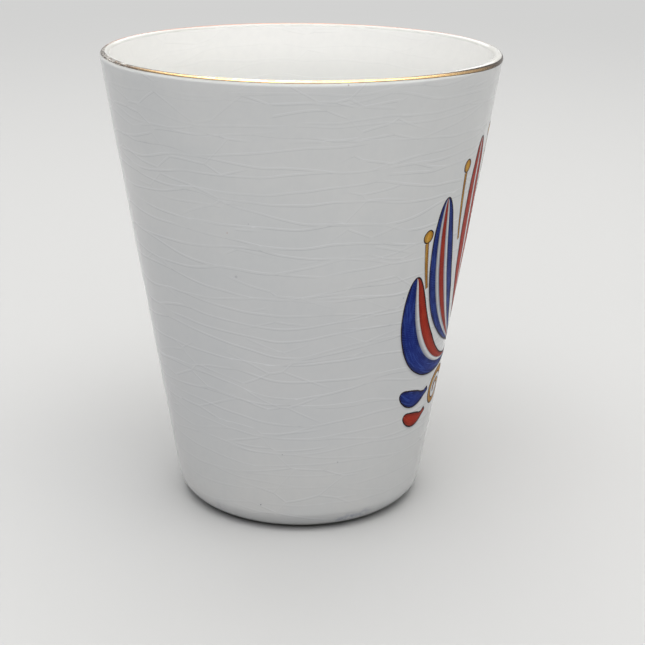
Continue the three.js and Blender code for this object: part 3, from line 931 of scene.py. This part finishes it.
def make_disc(node, centre, radius, narrowing, colour, paints):
    """A disc or a drop of colour with a key line round it."""
    height = np.sin(np.linspace(-1, 1, 24) * np.pi / 2) * (radius + OVERLAP)
    chord = narrowing * np.sqrt(np.maximum((radius + OVERLAP) ** 2 - height ** 2, 0))
    left = np.stack([centre[0] - chord, centre[1] + height], 1)
    right = np.stack([centre[0] + chord, centre[1] + height], 1)
    print_film(node, (left, right), colour, paints)
    outline = disc_outline(centre, radius, narrowing)
    ring_round(f"key_line_{node}", outline, OUTLINE_GAP / 2, 0.24, paints["umber"], len(node) + 7)


def make_stem(name, spine, side, side_name, paints):
    """A thin gold stem with a berry over its end."""
    place, left = bezier(mirrored(spine, side), np.linspace(0, 1, STEM_STEPS))
    node = f"{name}_stem_{side_name}"
    taper = np.linspace(0.75, 1.15, STEM_STEPS)[:, None] * STEM_HALF_WIDTH
    print_film(node, (place + left * taper, place - left * taper), "ochre", paints)
    for edge, sign in (("left", 1), ("right", -1)):
        inner = place + sign * left * (taper + 0.02)
        outer = inner + sign * left * 0.11
        line_name = f"key_line_{node}_{edge}"
        film(line_name, outer, inner, KEY_LINE, paints["umber"], "umber_enamel", width_steps=4)
    tip = spine[2]
    centre = (side * tip[0], tip[1] + BERRY_GAP + BERRY_RADIUS)
    make_disc(f"{name}_berry_{side_name}", centre, BERRY_RADIUS, 1, "ochre", paints)


def make_scroll(side, side_name, paints):
    """A scroll that winds in to its middle, with a key line along both edges."""
    share = np.linspace(0, 1, SCROLL_STEPS)
    angle = np.radians(SCROLL_START - 360 * SCROLL_TURNS * share)
    radius = SCROLL_RADIUS + (SCROLL_INNER_RADIUS - SCROLL_RADIUS) * share ** SCROLL_WIND_IN
    place = np.stack([side * (SCROLL[0] + radius * np.cos(angle)), SCROLL[1] + radius * np.sin(angle)], 1)
    left = left_of(np.gradient(place, axis=0))
    start, end = SCROLL_HALF_WIDTHS
    half = (start + (end - start) * share)[:, None]
    node = f"scroll_{side_name}"
    edges = place + left * half, place - left * half
    print_film(node, edges, "ochre", paints)
    outline = evenly(np.concatenate([edges[0], edges[1][::-1]]), SCROLL_RING_STEPS)
    ring_round(f"key_line_{node}", outline, -0.05, 0.2, paints["umber"], 41)


def make_print(paints):
    """The boss, the petals, leaves, stems and scrolls on both sides of it, and the drops below."""
    make_disc("boss", BOSS, BOSS_RADIUS, 1, "ochre", paints)
    make_petal(*PETALS[0], 1, "", paints)
    for side, side_name in ((1, "right"), (-1, "left")):
        for petal in PETALS[1:]:
            make_petal(*petal, side, side_name + "_", paints)
        for stem in STEMS:
            make_stem(*stem, side, side_name, paints)
        make_scroll(side, side_name, paints)
    height = BOSS[1] - BOSS_RADIUS
    for name, radius, colour in DROPS:
        height -= DROP_GAP + radius
        make_disc(name, (BOSS[0], height), radius, DROP_NARROWING, colour, paints)
        height -= radius


def make_cup():
    """The clay, the glaze, the gold and the print, whose grey shadows are made of glaze too."""
    glaze = clear_glaze()
    make_clay()
    make_glaze(glaze)
    make_underside_glaze(glaze)
    make_gilding()
    make_print({
        "flux": glaze,
        "red": enamel("iron_red_enamel", "#B42E1A", "#C84E32", "#8A2014", 0.35),
        "blue": enamel("cobalt_blue_enamel", "#162C80", "#3E5AB0", "#0E1B58", 0.6),
        "ochre": enamel("ochre_enamel", "#E2A83E", "#EEC468", "#A06A28", 0.4),
        "umber": enamel("umber_key_line_enamel", "#2E1C20", "#40292B", "#201215", 0.0),
    })


def seen_directly(add):
    """1 for the rays of the camera, of reflections and of clear surfaces, and 0 for those of light."""
    rays = add("LightPath").node.outputs
    seen = add("Math MAXIMUM", rays["Is Camera Ray"], rays["Is Glossy Ray"])
    return add("Math MAXIMUM", seen, rays["Is Transmission Ray"])


def stage_surface():
    """A paper cove. The camera and reflections see it pale, and evenly pale away from the cup, and it
    throws back less light than it shows, so that it doesn't light the cup from below."""
    material, add = emptied(bpy.data.materials.new("pale_paper_cove"))
    seen = seen_directly(add)
    colour = add("Mix", seen, srgb("#939496"), srgb("#BEBEBD"))
    paper = add("BsdfDiffuse", colour)
    shown = add("Emission", srgb(BACKGROUND), 1.0)
    place = add("TexCoord").node.outputs["Object"]
    away = add("VectorMath LENGTH", place)
    away = add("MapRange", away, *COVE_FADE)
    even = add("Math MULTIPLY", away, seen)
    add("OutputMaterial", add("MixShader", even, paper, shown))
    return material


def make_stage():
    """The floor, a flat disc that curves up into a low round wall."""
    flat, bend, wall = 2.2, 0.5, 0.6
    flat_rows, bend_rows, columns = 12, 16, 96
    turn = np.linspace(0, 1, bend_rows)[1:] * np.pi / 2
    radii = np.concatenate([np.linspace(0, flat, flat_rows), flat + bend * np.sin(turn), [flat + bend]])
    heights = np.concatenate([np.zeros(flat_rows), bend * (1 - np.cos(turn)), [bend + wall]])
    radii, heights = radii[:, None], heights[:, None]
    angle = np.linspace(0, 2 * np.pi, columns, endpoint=False)[None, :]
    grid = np.stack([radii * np.cos(angle), radii * np.sin(angle), heights + 0 * angle], 2)
    mesh = bpy.data.meshes.new("cove")
    mesh.from_pydata(grid.reshape(-1, 3).tolist(), [], faces_of(len(radii), columns, False).tolist())
    mesh.shade_smooth()
    mesh.materials.append(stage_surface())
    put_in_scene("cove", mesh)


def softbox(name, place, aim, size, watts, colour):
    """A square area light, its side in metres, that faces a point."""
    light = bpy.data.lights.new(name, "AREA")
    light.size = size
    light.energy = watts
    light.color = srgb(colour)[:3]
    lamp = put_in_scene(name, light)
    lamp.location = place
    lamp.rotation_euler = (Vector(aim) - Vector(place)).to_track_quat("-Z", "Y").to_euler()


def make_light():
    """Soft lamps all round: mostly from above and in front, as in the photograph."""
    aim = (0, 0, cad_high.z / 2)
    for name, azimuth, elevation, size, watts, colour in (
        ("overhead_softbox", -90, 85, 2.4, 40.5, "#FFFDF9"),
        ("front_softbox", -90, 60, 2.0, 22.4, "#FBFCFF"),
        ("left_softbox", -170, 40, 1.4, 2.6, "#F6F8FF"),
        ("right_softbox", -10, 40, 1.4, 5.2, "#FFFDF8"),
        ("back_softbox", 90, 45, 2.0, 17.0, "#FFFFFF"),
    ):
        turn, rise = math.radians(azimuth), math.radians(elevation)
        away = Vector((math.cos(rise) * math.cos(turn), math.cos(rise) * math.sin(turn), math.sin(rise)))
        softbox(name, Vector(aim) + LAMP_DISTANCE * away, aim, size, watts, colour)


def make_room():
    """The room round the cove: a dim even light, which is seen as the background."""
    world, add = emptied(bpy.data.worlds.new("soft_room"))
    bpy.context.scene.world = world
    lit = add("Background", srgb("#EEF0F5"), 0.21)
    shown = add("Background", srgb(BACKGROUND))
    add("OutputWorld", add("MixShader", seen_directly(add), lit, shown))


def make_camera():
    """The photograph's view: from in front and above, on a long lens, a touch turned on its own axis."""
    data = bpy.data.cameras.new("photo_view")
    data.sensor_fit = "HORIZONTAL"
    data.sensor_width = 36
    data.lens = LENS
    camera = put_in_scene("photo_view", data)
    turn = Matrix.Rotation(CAMERA_TILT, 4, "X") @ Matrix.Rotation(CAMERA_ROLL, 4, "Z")
    camera.matrix_world = Matrix.Translation(CAMERA_PLACE) @ turn
    bpy.context.scene.camera = camera


make_camera()
make_stage()
make_light()
make_room()
make_cup()
bpy.context.scene.view_settings.view_transform = "Standard"
